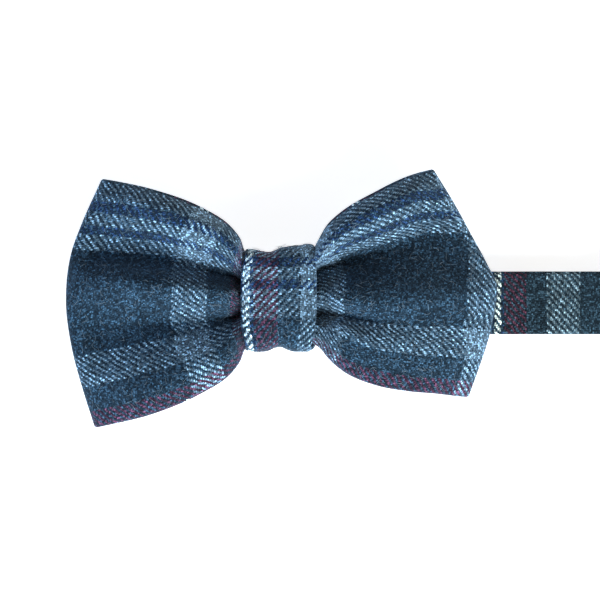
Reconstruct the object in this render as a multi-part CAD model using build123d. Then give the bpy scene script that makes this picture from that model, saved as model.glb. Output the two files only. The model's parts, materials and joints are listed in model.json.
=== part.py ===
from build123d import *
import os
from math import asin, degrees

# A pre-tied bow tie lying face up, with its neckband swept to one side.
# Millimetres: +X to the right along the bow, +Y towards its top edge, +Z out of its face.
# The origin is under the middle of the knot, on the plane that the tie lies on.

# --- Driving dimensions -------------------------------------------------------------------------

# Neckband: a folded, stiffened strip of cloth.
BAND_WIDTH = 17.6
BAND_THICK = 1.5
BAND_Y = -0.8  # the band's middle, just below the bow's
STIFFENER_THICK = 0.4
STIFFENER_MARGIN = 1.6  # cloth outside the stiffener along each edge
LEFT_FOLD_INSET = 12.5  # from the left wing's tip to where the band turns under, behind the bow

# Bow: a folded tube of cloth, gathered at the waist.
BOW_WIDTH = 120.1
BOW_HEIGHT = 72.3
BOW_GAP = 1.4  # between the band's upper run and the bow
CLOTH_PLY = 0.65
INTERLINING_THICK = 0.5
INTERLINING_MARGIN = 3.0
WAIST_THICK = 12.4
WAIST_HEIGHT = 25.0
WING_RISE = 5.0  # how far the wings swell above the waist
WING_EDGE_DEPTH = 7.0  # of the folded edge at each end

# Knot: a short band of the same cloth round the waist.
KNOT_THICK = 1.4
KNOT_WIDTH = 20.2
KNOT_HEIGHT = 29.6
KNOT_CORNER = 3.2
KNOT_LINING_THICK = 0.4

# Thread.
THREAD = 0.5
WAIST_TURNS = 5
WAIST_TURN_PITCH = 1.6
SEAM_STITCHES = 7
SEAM_PITCH = 2.4
BAND_TACKS = 3
BAND_TACK_PITCH = 3.0
BAR_TACK_THICK = 0.3
BAR_TACK_WIDTH = 0.8
BAR_TACK_PITCH = 2.0

# Adjuster: the band runs through the slider, round the eye and back to the slider's middle bar.
SLIDER_X = 98.5
SLIDER_TO_EYE = 35.5
SLIDER_TRAVEL_IN = 75.0
SLIDER_TRAVEL_OUT = 10.0
SLIDER_LENGTH = 13.0
SLIDER_METAL = 1.0
SLIDER_BAR_WIDTH = 2.2
SLIDER_RAIL = 1.7
WRAP_THICK = 0.8  # the band's end, turned under and thinned, round the middle bar
WRAP_TAIL = 9.0
EYE_WIRE = 1.95
EYE_LENGTH = 9.4
EYE_CORNER = 2.4

# Hook, at the band's other end.
HOOK_BAR = 1.7
HOOK_SEWN_TAIL = 13.0
HOOK_METAL = 1.1
HOOK_ARM = 1.6
HOOK_NECK = 3.0
HOOK_TONGUE_WIDTH = 8.0
HOOK_REACH = 16.0
HOOK_MOUTH = 2.4
HOOK_TIP = 6.0

# Clearances.
FIT = 0.05  # a lining in the space sewn for it
SLIP = 0.15  # metal and the cloth that runs in it
LAYER_GAP = 0.25  # layers of the band that slide on each other
SIDE_GAP = 0.5  # the slider and the band's edges
EYE_SIDE_GAP = 1.2
REST_GAP = 0.2  # a loose ring or hook and what it lies on

# --- Places worked out from them ----------------------------------------------------------------

RETURN_BOTTOM = BAND_THICK + LAYER_GAP
RETURN_TOP = RETURN_BOTTOM + BAND_THICK
BAR_BOTTOM = RETURN_TOP + SLIP
BAR_TOP = BAR_BOTTOM + SLIDER_METAL
WRAP_BOTTOM = BAR_TOP + SLIP
WRAP_TOP = WRAP_BOTTOM + WRAP_THICK
RUN_BOTTOM = WRAP_TOP + SLIP
RUN_TOP = RUN_BOTTOM + BAND_THICK
BOW_BOTTOM = RUN_TOP + BOW_GAP
WAIST_TOP = BOW_BOTTOM + WAIST_THICK
WING_TOP = WAIST_TOP + WING_RISE
WING_WALL = 2 * (CLOTH_PLY + FIT) + INTERLINING_THICK

KNOT_EDGE = KNOT_WIDTH / 2
KNOT_INNER_BOTTOM = RUN_BOTTOM - SLIP
KNOT_INNER_TOP = WAIST_TOP + THREAD + KNOT_LINING_THICK + 4 * FIT
KNOT_OUTER_BOTTOM = KNOT_INNER_BOTTOM - KNOT_THICK
KNOT_INNER_HEIGHT = KNOT_HEIGHT - 2 * KNOT_THICK

EYE_X = SLIDER_X + SLIDER_TO_EYE
EYE_TRAVEL_IN = SLIDER_TRAVEL_IN / 2
EYE_TRAVEL_OUT = SLIDER_TRAVEL_OUT / 2
EYE_Z = (RETURN_TOP + RUN_BOTTOM) / 2
EYE_TURN_INNER = (RUN_BOTTOM - RETURN_TOP) / 2
RUN_END_X = EYE_X - EYE_TRAVEL_IN  # the upper run is never shorter than this
RETURN_END_X = EYE_X - (SLIDER_TRAVEL_OUT - EYE_TRAVEL_OUT)

HOOK_TURN_INNER = HOOK_BAR / 2 + SLIP
HOOK_Z = BAND_THICK + HOOK_TURN_INNER
HOOK_TAIL_BOTTOM = BAND_THICK + 2 * HOOK_TURN_INNER
HOOK_TAIL_START = EYE_X + EYE_TRAVEL_OUT + EYE_LENGTH + EYE_WIRE + SIDE_GAP
HOOK_X = HOOK_TAIL_START + HOOK_SEWN_TAIL

# The wings' outlines from the front, drawn on a bow 120.1 wide and 72.3 high.
DRAWN_WIDTH = 120.1
DRAWN_HEIGHT = 72.3
LEFT_OUTLINE = {
    "upper": [(-13.0, 19.8), (-21.6, 25.8), (-35.0, 30.7), (-50.2, 34.1)],
    "end": [(-50.2, 34.1), (-59.6, -0.5), (-52.1, -35.7)],
    "lower": [(-13.0, -19.8), (-21.6, -26.0), (-35.0, -31.6), (-52.1, -35.7)],
}
RIGHT_OUTLINE = {
    "upper": [(12.2, 19.0), (18.3, 24.9), (27.1, 29.9), (43.5, 36.6)],
    "end": [(43.5, 36.6), (53.8, 18.0), (60.5, 3.0), (58.4, -9.0), (52.5, -27.4)],
    "lower": [(12.2, -14.6), (18.3, -19.9), (27.1, -23.5), (36.0, -25.2), (52.5, -27.4)],
}
SWELL_X = 29.0  # where the drawn wings are highest
LEFT_REACH = 59.6 * BOW_WIDTH / DRAWN_WIDTH
LEFT_FOLD_X = LEFT_FOLD_INSET - LEFT_REACH

# --- Helpers ------------------------------------------------------------------------------------


def along_y(face, width):
    """A face in the XZ plane, extruded to both sides of it."""
    return extrude(face, width / 2, both=True)


def block(x0, x1, y_width, z0, z1):
    """A box between two x and two z, centred on y = 0."""
    centre = Location(((x0 + x1) / 2, 0, (z0 + z1) / 2))
    return centre * Box(x1 - x0, y_width, z1 - z0)


def half_turn(x, z, inner, thick, width, side):
    """Cloth or metal that turns back on itself round (x, z), bulging to +X or to -X."""
    ring = Circle(inner + thick) - Circle(inner)
    reach = 2 * (inner + thick)
    keep = Pos(side * reach / 2, 0) * Rectangle(reach, 2 * reach)
    return Pos(x, 0, z) * along_y(Plane.XZ * (ring & keep), width)


def joined(shapes):
    """Several touching solids as one."""
    whole = shapes[0]
    for shape in shapes[1:]:
        whole = whole + shape
    return whole


def row_of(shape, count, pitch, axis):
    """Separate copies of a shape, evenly spaced and centred on where it stands."""
    first = -(count - 1) / 2 * pitch
    return Compound([Pos(axis * (first + i * pitch)) * shape for i in range(count)])


# --- Bow ----------------------------------------------------------------------------------------

FAR = 2 * BOW_WIDTH


def scaled(points):
    """Outline points at the bow's real size."""
    return [(x * BOW_WIDTH / DRAWN_WIDTH, y * BOW_HEIGHT / DRAWN_HEIGHT) for x, y in points]


def between_edges(outline, side, inset):
    """Everything between a wing's upper and lower edges, each moved in by inset."""
    neck_x = side * (KNOT_EDGE + SIDE_GAP)
    neck_y = WAIST_HEIGHT / 2 - inset
    upper = [(x, y - inset) for x, y in scaled(outline["upper"])]
    lower = [(x, y + inset) for x, y in scaled(outline["lower"])]
    edges = [
        Spline(*upper),
        Polyline(upper[-1], (side * FAR, upper[-1][1]), (side * FAR, lower[-1][1]), lower[-1]),
        Spline(*lower),
        Polyline(lower[0], (neck_x, -neck_y), (0, -neck_y), (0, neck_y), (neck_x, neck_y), upper[0]),
    ]
    return extrude(make_face(Curve() + edges), WING_TOP + WING_RISE)


def inside_end(outline, side, inset):
    """Everything from x = 0 to a wing's folded end, moved in by inset."""
    end = [(x - side * inset, y) for x, y in scaled(outline["end"])]
    top, low = end[0], end[-1]
    edges = [
        Spline(*end),
        Polyline(low, (low[0], -FAR), (0, -FAR), (0, FAR), (top[0], FAR), top),
    ]
    return extrude(make_face(Curve() + edges), WING_TOP + WING_RISE)


def swollen(side, inset):
    """The wing's section along the bow, from its flat back to its swollen front."""
    swell_x = SWELL_X * BOW_WIDTH / DRAWN_WIDTH
    end_x = LEFT_REACH
    end_z = BOW_BOTTOM + WING_EDGE_DEPTH
    waist_x = KNOT_EDGE
    front = [
        (side * waist_x, WAIST_TOP - inset),
        (side * swell_x, WING_TOP - inset),
        (side * end_x, end_z - inset),
    ]
    back = BOW_BOTTOM + inset
    edges = [
        Spline(*front, tangents=[(side, 0.15), (side, -0.75)]),
        Polyline(
            front[-1], (side * FAR, end_z - inset), (side * FAR, back), (0, back),
            (0, WAIST_TOP - inset), front[0],
        ),
    ]
    return along_y(Plane.XZ * make_face(Curve() + edges), FAR)


def wing_solid(outline, side, wall, edge_inset):
    """A wing without its hollow: wall is how far in from the cloth's outer face it starts."""
    body = swollen(side, wall) & inside_end(outline, side, wall)
    return body & between_edges(outline, side, edge_inset)


def wing_layer(outline, side, outer, inner, edge_inset):
    """The part of a wing's folded wall between two depths."""
    return wing_solid(outline, side, outer, edge_inset) - wing_solid(outline, side, inner, -FAR / 4)


def lining_layer(outline, side, fit):
    """The space between the cloth's two plies, less fit all round."""
    layer = wing_layer(
        outline,
        side,
        CLOTH_PLY + fit,
        WING_WALL - CLOTH_PLY - fit,
        INTERLINING_MARGIN + fit,
    )
    start = KNOT_EDGE + INTERLINING_MARGIN + fit
    ends = sorted((side * start, side * FAR))
    return layer & block(ends[0], ends[1], FAR, 0, 2 * WING_TOP)


def make_bow():
    """The folded cloth with its gathered waist, and the interlining in each wing."""
    wings = {"left": (LEFT_OUTLINE, -1), "right": (RIGHT_OUTLINE, 1)}
    bundle_x = KNOT_EDGE + WING_WALL
    bundle = block(-bundle_x, bundle_x, WAIST_HEIGHT, BOW_BOTTOM, WAIST_TOP)
    pieces = [bundle]
    for outline, side in wings.values():
        wall = wing_layer(outline, side, 0, WING_WALL, 0)
        pieces.append(wall - lining_layer(outline, side, 0))
    parts = {"bow_cloth": joined(pieces)}
    for name, (outline, side) in wings.items():
        parts[f"{name}_wing_interlining"] = lining_layer(outline, side, FIT)
    return parts


def make_waist_thread():
    """Turns of thread that hold the gathers, each a closed loop round the waist."""
    height = WAIST_HEIGHT + 2 * FIT
    thick = WAIST_THICK + 2 * FIT
    ring = RectangleRounded(height + 2 * THREAD, thick + 2 * THREAD, 1.8 * THREAD)
    ring = ring - Rectangle(height, thick)
    turn = extrude(Plane.YZ * ring, THREAD / 2, both=True)
    turn = Pos(0, 0, (BOW_BOTTOM + WAIST_TOP) / 2) * turn
    return row_of(turn, WAIST_TURNS, WAIST_TURN_PITCH, Vector(1, 0, 0))


# --- Knot ---------------------------------------------------------------------------------------


def make_knot():
    """The knot's wrap, its lining, its closing stitches and the tacks that hold the band."""
    z_mid = (KNOT_INNER_BOTTOM + KNOT_INNER_TOP) / 2
    depth = KNOT_INNER_TOP - KNOT_INNER_BOTTOM
    outer = RectangleRounded(KNOT_HEIGHT, depth + 2 * KNOT_THICK, KNOT_CORNER)
    inner = RectangleRounded(KNOT_INNER_HEIGHT, depth, KNOT_CORNER - KNOT_THICK)
    wrap = extrude(Plane.YZ * (outer - inner), KNOT_WIDTH / 2, both=True)

    lining_top = KNOT_INNER_TOP - FIT
    lining = block(
        STIFFENER_MARGIN - KNOT_EDGE,
        KNOT_EDGE - STIFFENER_MARGIN,
        KNOT_INNER_HEIGHT - 2 * KNOT_CORNER,
        lining_top - KNOT_LINING_THICK,
        lining_top,
    )

    seam_z = KNOT_OUTER_BOTTOM - THREAD / 2
    seam_stitch = Pos(0, 0, seam_z) * Rot(0, 90, 20) * Cylinder(THREAD / 2, 2 * SEAM_PITCH)

    tack_length = RUN_BOTTOM - FIT - KNOT_OUTER_BOTTOM
    tack_z = KNOT_OUTER_BOTTOM + tack_length / 2
    tack = Pos(0, BAND_Y, tack_z) * Cylinder(THREAD / 2, tack_length)
    tack_x = KNOT_EDGE + THREAD / 2 + FIT
    y_axis = Vector(0, 1, 0)
    tacks = [row_of(Pos(x, 0, 0) * tack, BAND_TACKS, BAND_TACK_PITCH, y_axis) for x in (-tack_x, tack_x)]
    return {
        "knot_wrap": Pos(0, 0, z_mid) * wrap,
        "knot_lining": lining,
        "knot_seam_stitches": row_of(seam_stitch, SEAM_STITCHES, SEAM_PITCH, y_axis),
        "band_tack_stitches": Compound([solid for row in tacks for solid in row.solids()]),
    }


# --- Neckband -----------------------------------------------------------------------------------


def band_path(inset, width):
    """The band from the end of its upper run, round the left fold, to the hook's turn."""
    fold_inner = (RUN_BOTTOM - BAND_THICK) / 2
    thick = BAND_THICK - 2 * inset
    return [
        block(LEFT_FOLD_X, RUN_END_X - inset, width, RUN_BOTTOM + inset, RUN_TOP - inset),
        half_turn(LEFT_FOLD_X, RUN_TOP / 2, fold_inner + inset, thick, width, -1),
        block(LEFT_FOLD_X, HOOK_X - inset, width, inset, BAND_THICK - inset),
    ]


def make_neckband():
    """The band's cloth with the hook's sewn turn, and the stiffener inside it."""
    ply = (BAND_THICK - STIFFENER_THICK) / 2
    stiff_width = BAND_WIDTH - 2 * STIFFENER_MARGIN
    tail_top = HOOK_TAIL_BOTTOM + BAND_THICK
    sewn = [
        half_turn(HOOK_X, HOOK_Z, HOOK_TURN_INNER, BAND_THICK, BAND_WIDTH, 1),
        block(HOOK_TAIL_START, HOOK_X, BAND_WIDTH, HOOK_TAIL_BOTTOM, tail_top),
    ]
    space = joined(band_path(ply - FIT, stiff_width + 2 * FIT))
    return {
        "neckband": joined(band_path(0, BAND_WIDTH) + sewn) - space,
        "neckband_stiffener": joined(band_path(ply, stiff_width)),
        "hook_bar_tack": bar_tack(HOOK_TAIL_START + SLIDER_BAR_WIDTH, tail_top),
    }


def bar_tack(x, z_low):
    """Two close rows of thread across the band, standing on z_low."""
    count = int((BAND_WIDTH - 2) // BAR_TACK_PITCH)
    stitch = Box(BAR_TACK_WIDTH, BAR_TACK_PITCH * 0.72, BAR_TACK_THICK)
    z_mid = z_low + BAR_TACK_THICK / 2
    rows = [
        row_of(Pos(row_x, 0, z_mid) * stitch, count, BAR_TACK_PITCH, Vector(0, 1, 0))
        for row_x in (x, x + 1.8 * BAR_TACK_WIDTH)
    ]
    return Compound([solid for row in rows for solid in row.solids()])


# --- Adjuster -----------------------------------------------------------------------------------


def make_slider():
    """A pressed metal slider: two outer bars over the band and a sunk middle bar under it."""
    over_bottom = RUN_TOP + SLIP
    over_top = over_bottom + SLIDER_METAL
    half = SLIDER_LENGTH / 2
    sunk_half = SLIDER_BAR_WIDTH / 2 + 1.6
    shoulder = over_bottom - 0.6 * SLIDER_METAL
    rail_y = BAND_WIDTH / 2 + SIDE_GAP + SLIDER_RAIL / 2
    rail_profile = make_face(
        Polyline(
            (-half, over_top),
            (half, over_top),
            (half, shoulder),
            (sunk_half, BAR_BOTTOM),
            (-sunk_half, BAR_BOTTOM),
            (-half, shoulder),
            close=True,
        )
    )
    rail = along_y(Plane.XZ * rail_profile, SLIDER_RAIL)
    end_x = half - SLIDER_BAR_WIDTH / 2
    bar = Box(SLIDER_BAR_WIDTH, 2 * rail_y, SLIDER_METAL)
    frame = joined(
        [
            Pos(0, rail_y, 0) * rail,
            Pos(0, -rail_y, 0) * rail,
            Pos(end_x, 0, over_bottom + SLIDER_METAL / 2) * bar,
            Pos(-end_x, 0, over_bottom + SLIDER_METAL / 2) * bar,
            Pos(0, 0, (BAR_BOTTOM + BAR_TOP) / 2) * bar,
        ]
    )
    frame = fillet(frame.faces().sort_by(Axis.Z)[-1].edges(), 0.35 * SLIDER_METAL)
    return Pos(SLIDER_X, 0, 0) * frame


def make_return_strip():
    """The band's end: back from the eye, round the slider's middle bar, and sewn on itself."""
    bar_half = SLIDER_BAR_WIDTH / 2 + SLIP
    back_x = SLIDER_X - bar_half
    step_x = SLIDER_X + bar_half
    tail_top = RETURN_TOP + WRAP_THICK
    step = make_face(
        Polyline(
            (step_x, WRAP_TOP),
            (step_x, RETURN_TOP),
            (step_x + WRAP_TAIL, RETURN_TOP),
            (step_x + WRAP_TAIL, tail_top),
            (step_x + 2 * WRAP_THICK, tail_top),
            close=True,
        )
    )
    strip = joined(
        [
            block(back_x - WRAP_THICK, RETURN_END_X, BAND_WIDTH, RETURN_BOTTOM, RETURN_TOP),
            block(back_x - WRAP_THICK, back_x, BAND_WIDTH, RETURN_BOTTOM, WRAP_TOP),
            block(back_x - WRAP_THICK, step_x, BAND_WIDTH, WRAP_BOTTOM, WRAP_TOP),
            along_y(Plane.XZ * step, BAND_WIDTH),
        ]
    )
    tack_x = step_x + WRAP_TAIL / 2
    return {
        "return_strip": strip,
        "slider_bar_tack": bar_tack(tack_x, tail_top),
    }


def make_eye():
    """A wire ring that droops from the band's turn until its free bar lies on the band below."""
    drop = EYE_Z - (BAND_THICK + REST_GAP + EYE_WIRE / 2)
    droop = degrees(asin(drop / EYE_LENGTH))
    width = BAND_WIDTH + 2 * EYE_SIDE_GAP + EYE_WIRE
    path = Pos(EYE_LENGTH / 2, 0) * RectangleRounded(EYE_LENGTH, width, EYE_CORNER)
    wire = path.wire()
    section = Plane(origin=wire @ 0, z_dir=wire % 0) * Circle(EYE_WIRE / 2)
    ring = sweep(section, wire)
    return Pos(EYE_X, 0, EYE_Z) * Rot(0, droop, 0) * ring


def make_adjuster():
    """The pieces that move when the band is lengthened or shortened."""
    return {
        "slider": make_slider(),
        **make_return_strip(),
        "run_slack": block(RUN_END_X, EYE_X, BAND_WIDTH, RUN_BOTTOM, RUN_TOP),
        "return_slack": block(RETURN_END_X, EYE_X, BAND_WIDTH, RETURN_BOTTOM, RETURN_TOP),
        "eye_turn": half_turn(EYE_X, EYE_Z, EYE_TURN_INNER, BAND_THICK, BAND_WIDTH, 1),
        "eye": make_eye(),
    }


# --- Hook ---------------------------------------------------------------------------------------


def make_hook():
    """A pressed hook: a round bar in the band's turn, two arms, and a tongue that curls back."""
    arm_y = BAND_WIDTH / 2 + SIDE_GAP
    shoulder_x = HOOK_TURN_INNER + BAND_THICK + SIDE_GAP
    arm_end = shoulder_x + 1.4 * HOOK_ARM
    tongue_y = HOOK_TONGUE_WIDTH / 2
    half = [
        (shoulder_x, arm_y),
        (-HOOK_BAR / 2, arm_y),
        (-HOOK_BAR / 2, arm_y + HOOK_ARM),
        (arm_end, arm_y + HOOK_ARM),
        (arm_end + HOOK_NECK, tongue_y),
        (HOOK_REACH, tongue_y),
    ]
    other_half = [(x, -y) for x, y in reversed(half)]
    plan = make_face(Polyline(*half, *other_half, close=True))
    outer_corners = plan.vertices().filter_by(lambda v: abs(v.Y) > arm_y + HOOK_ARM / 2)
    plan = fillet(outer_corners, 0.4 * HOOK_ARM)
    plate = Pos(0, 0, -HOOK_METAL / 2) * extrude(plan, HOOK_METAL)
    bar = Rot(90, 0, 0) * Cylinder(HOOK_BAR / 2, 2 * arm_y + HOOK_ARM)

    mouth_z = HOOK_METAL / 2 + HOOK_MOUTH / 2
    curl = half_turn(HOOK_REACH, mouth_z, HOOK_MOUTH / 2, HOOK_METAL, HOOK_TONGUE_WIDTH, 1)
    tip_low = HOOK_METAL / 2 + HOOK_MOUTH
    tip = block(
        HOOK_REACH - HOOK_TIP, HOOK_REACH, HOOK_TONGUE_WIDTH, tip_low, tip_low + HOOK_METAL
    )
    tip = fillet(tip.edges().filter_by(Axis.Z).sort_by(Axis.X)[:2], 0.3 * HOOK_TONGUE_WIDTH)
    drop = HOOK_Z - HOOK_METAL / 2 - REST_GAP
    droop = degrees(asin(drop / (HOOK_REACH + HOOK_MOUTH / 2 + HOOK_METAL)))
    return Pos(HOOK_X, 0, HOOK_Z) * Rot(0, droop, 0) * joined([plate, bar, curl, tip])


# --- All of it ----------------------------------------------------------------------------------


def main():
    band_parts = {
        **make_neckband(),
        **make_adjuster(),
        "hook": make_hook(),
    }
    parts = {
        **make_bow(),
        "waist_thread": make_waist_thread(),
        **make_knot(),
        **{name: Pos(0, BAND_Y, 0) * shape for name, shape in band_parts.items()},
    }
    os.makedirs("parts", exist_ok=True)
    for name, shape in parts.items():
        export_step(shape, f"parts/{name}.step")


main()
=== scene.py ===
import json
import math
import random

import bmesh
import bpy
import numpy as np
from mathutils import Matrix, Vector, noise


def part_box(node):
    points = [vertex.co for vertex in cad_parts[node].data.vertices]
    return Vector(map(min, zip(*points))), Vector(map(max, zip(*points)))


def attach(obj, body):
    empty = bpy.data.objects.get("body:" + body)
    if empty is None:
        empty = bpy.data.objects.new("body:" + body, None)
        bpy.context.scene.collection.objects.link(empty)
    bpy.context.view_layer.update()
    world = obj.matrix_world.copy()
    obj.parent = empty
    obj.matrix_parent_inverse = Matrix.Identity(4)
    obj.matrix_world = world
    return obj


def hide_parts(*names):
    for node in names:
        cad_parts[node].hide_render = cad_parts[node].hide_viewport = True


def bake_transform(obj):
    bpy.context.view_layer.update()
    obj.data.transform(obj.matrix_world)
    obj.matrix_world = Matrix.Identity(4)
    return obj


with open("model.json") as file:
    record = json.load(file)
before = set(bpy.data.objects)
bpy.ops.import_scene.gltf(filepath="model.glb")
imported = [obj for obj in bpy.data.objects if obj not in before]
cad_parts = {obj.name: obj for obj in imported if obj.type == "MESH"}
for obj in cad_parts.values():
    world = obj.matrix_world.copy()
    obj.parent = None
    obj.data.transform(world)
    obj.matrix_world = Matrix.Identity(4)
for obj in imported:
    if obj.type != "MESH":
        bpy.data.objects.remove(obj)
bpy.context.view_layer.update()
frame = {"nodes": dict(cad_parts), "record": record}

MM = 0.001

# --- The frame, in millimetres --------------------------------------------------------------------


def box_mm(node):
    """A CAD node's lowest and highest corners, in millimetres."""
    low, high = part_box(node)
    return np.array(low) / MM, np.array(high) / MM


BAND_LOW = box_mm("neckband")[0]
BOW_LOW = box_mm("bow_cloth")[0]
KNOT_LOW, KNOT_HIGH = box_mm("knot_wrap")
RUN_LOW, RUN_HIGH = box_mm("run_slack")
RETURN_LOW, RETURN_HIGH = box_mm("return_slack")
STRIP_LOW, STRIP_HIGH = box_mm("return_strip")
HOOK_TACK_LOW = box_mm("hook_bar_tack")[0]
JOINTS = {joint["name"]: joint for joint in frame["record"]["behaviour"]["joints"]}

BAND_THICK = RUN_HIGH[2] - RUN_LOW[2]
BAND_HALF = (RUN_HIGH[1] - RUN_LOW[1]) / 2
BAND_Y = (RUN_HIGH[1] + RUN_LOW[1]) / 2
EYE_X = RUN_HIGH[0]
HOOK_AXIS = np.array(JOINTS["hook_swing"]["pos_m"]) / MM

# --- Cloth facts, in millimetres ------------------------------------------------------------------

THREAD_PITCH = 0.52
WING_CLOTH = 69.5  # the bow strip's width, before it is gathered
PLY = 1.9  # two plies of wool and the interlining between them
WAIST_PLY = 1.2  # the same, squeezed under the knot
# Where the white stripe's middle lies along X on each piece, and where its rows start, downwards.
WHITE_HALF = 1.1
BOW_WHITE = -5.8
KNOT_WHITE = -8.9
BAND_WHITE = 61.2
KNOT_TOP_ROW = 1.5
BAND_TOP_ROW = -24.0
BAND_DRAWN_IN = 1.1  # the pressed band holds its columns this much closer
WARP_SETT = [
    ("white", 2.2), ("navy", 1.0), ("burgundy", 6.6), ("dark", 6.6), ("light", 10.0),
    ("dark", 35.5), ("light", 10.0), ("dark", 6.6), ("burgundy", 6.6), ("navy", 1.0),
]
WEFT_SETT = [
    ("light", 5.5), ("navy", 3.4), ("light", 3.7), ("navy", 3.0), ("light", 4.9),
    ("dark", 29.4), ("light", 8.6), ("dark", 6.8), ("burgundy", 7.6), ("navy", 1.0),
    ("white", 2.2), ("navy", 1.0), ("burgundy", 6.0), ("dark", 6.0),
]
KNOT_WEFT_SETT = [
    ("navy", 2.4), ("light", 4.0), ("navy", 2.3), ("light", 8.0), ("dark", 25.5), ("light", 8.0),
    ("dark", 8.4), ("burgundy", 7.6), ("navy", 1.0), ("white", 2.2), ("navy", 1.0),
    ("burgundy", 6.0), ("dark", 6.0), ("light", 5.5),
]
YARN = {
    "dark": (0.019, 0.042, 0.067),
    "navy": (0.014, 0.036, 0.092),
    "light": (0.145, 0.232, 0.310),
    "burgundy": (0.072, 0.026, 0.050),
    "white": (0.700, 0.880, 0.960),
}
BAND_SHADE_TONE = (0.95, 0.84, 0.70)  # painted shade: darker and less blue than the bow's cloth, for the wing's shadow over the strap
FIBRE_TONE = (0.11, 0.17, 0.23)
FIBRE_TURNS = (0.4, 1.5, 2.6)  # the directions that loose fibres lie in, in radians

# --- Curves ---------------------------------------------------------------------------------------


def smooth_line(points, count):
    """A smooth curve through the points, sampled evenly along its length."""
    points = np.array(points, float)
    chord = np.concatenate([[0], np.cumsum(np.linalg.norm(np.diff(points, axis=0), axis=1))])
    slope = np.gradient(points, chord, axis=0)
    fine = np.linspace(0, chord[-1], 12 * len(points))
    i = np.clip(np.searchsorted(chord, fine, side="right") - 1, 0, len(points) - 2)
    span = (chord[i + 1] - chord[i])[:, None]
    q = (fine - chord[i])[:, None] / span
    curve = (
        (2 * q**3 - 3 * q**2 + 1) * points[i]
        + (q**3 - 2 * q**2 + q) * span * slope[i]
        + (3 * q**2 - 2 * q**3) * points[i + 1]
        + (q**3 - q**2) * span * slope[i + 1]
    )
    return even(curve, count)


def even(curve, count):
    """The same curve, with its points evenly spaced."""
    length = np.concatenate([[0], np.cumsum(np.linalg.norm(np.diff(curve, axis=0), axis=1))])
    at = np.linspace(0, length[-1], count)
    return np.stack([np.interp(at, length, curve[:, k]) for k in range(curve.shape[1])], axis=1)


def drawn_line(controls, count):
    """A soft curve that the control points pull towards, starting and ending on them."""
    line = np.array(controls, float)
    for _ in range(5):
        middle = (line[:-1] + line[1:]) / 2
        bent = (middle[:-1] + 2 * line[1:-1] + middle[1:]) / 4
        inner = np.empty((len(middle) + len(bent), line.shape[1]))
        inner[0::2] = middle
        inner[1::2] = bent
        line = np.concatenate([line[:1], inner, line[-1:]])
    return even(line, count)


def eased(x, knots, values):
    """Values that glide from knot to knot."""
    i = np.clip(np.searchsorted(knots, x, side="right") - 1, 0, len(knots) - 2)
    knots, values = np.array(knots, float), np.array(values, float)
    q = np.clip((x - knots[i]) / (knots[i + 1] - knots[i]), 0, 1)
    return values[i] + (values[i + 1] - values[i]) * q * q * (3 - 2 * q)


def lengths_along(grid, axis):
    """Distances along one direction of a grid of points, starting from 0."""
    steps = np.linalg.norm(np.diff(grid, axis=axis), axis=2)
    start = np.zeros_like(np.take(steps, [0], axis=axis))
    return np.concatenate([start, np.cumsum(steps, axis=axis)], axis=axis)


def normals_of(grid):
    """Unit normals of a grid of points."""
    across = np.gradient(grid, axis=1)
    along = np.gradient(grid, axis=0)
    normal = np.cross(along, across)
    return normal / np.maximum(np.linalg.norm(normal, axis=2, keepdims=True), 1e-9)


# --- Meshes ---------------------------------------------------------------------------------------


def mesh_object(name, points_mm, faces, uv_mm=None):
    """A smooth-shaded object from points in millimetres, with its cloth coordinates as a UV map."""
    mesh = bpy.data.meshes.new(name)
    mesh.from_pydata((np.asarray(points_mm) * MM).tolist(), [], faces)
    mesh.polygons.foreach_set("use_smooth", [True] * len(mesh.polygons))
    if uv_mm is not None:
        layer = mesh.uv_layers.new(name="cloth")
        layer.data.foreach_set("uv", np.asarray(uv_mm, np.float32).ravel())
    solid = bmesh.new()
    solid.from_mesh(mesh)
    bmesh.ops.recalc_face_normals(solid, faces=solid.faces)
    solid.to_mesh(mesh)
    solid.free()
    piece = bpy.data.objects.new(name, mesh)
    bpy.context.scene.collection.objects.link(piece)
    return piece


def loft(name, rings, u, v, round_path=False):
    """Closed rings joined one to the next. u and v have one more column than the rings have points.
    With round_path the last ring joins the first, and u and v have one more row too."""
    count, size = rings.shape[:2]
    spans = count if round_path else count - 1
    i, j = np.meshgrid(np.arange(spans), np.arange(size), indexing="ij")
    i, j = i.ravel(), j.ravel()
    i1, j1 = (i + 1) % count, (j + 1) % size
    quads = np.stack([i * size + j, i * size + j1, i1 * size + j1, i1 * size + j], axis=1)
    corners = [(i, j), (i, j + 1), (i + 1, j + 1), (i + 1, j)]
    uv = np.stack([np.stack([u[a, b], v[a, b]], axis=1) for a, b in corners], axis=1)
    faces = quads.tolist()
    uv = uv.reshape(-1, 2).tolist()
    if not round_path:
        for ring, flip in ((0, True), (count - 1, False)):
            for k in range(size // 2 - 1):
                face = [k, k + 1, size - 2 - k, size - 1 - k]
                face = face[::-1] if flip else face
                faces.append([ring * size + f for f in face])
                uv += [[u[ring, f], v[ring, f]] for f in face]
    return mesh_object(name, rings.reshape(-1, 3), faces, uv)


def hollow(piece, rings):
    """Leaves a closed space inside a piece."""
    zero = np.zeros((len(rings), rings.shape[1] + 1))
    space = loft("space", rings, zero, zero)
    solid = bmesh.new()
    solid.from_mesh(space.data)
    bmesh.ops.reverse_faces(solid, faces=solid.faces)
    solid.to_mesh(space.data)
    solid.clear()
    solid.from_mesh(piece.data)
    solid.from_mesh(space.data)
    solid.to_mesh(piece.data)
    solid.free()
    bpy.data.meshes.remove(space.data)


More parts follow.
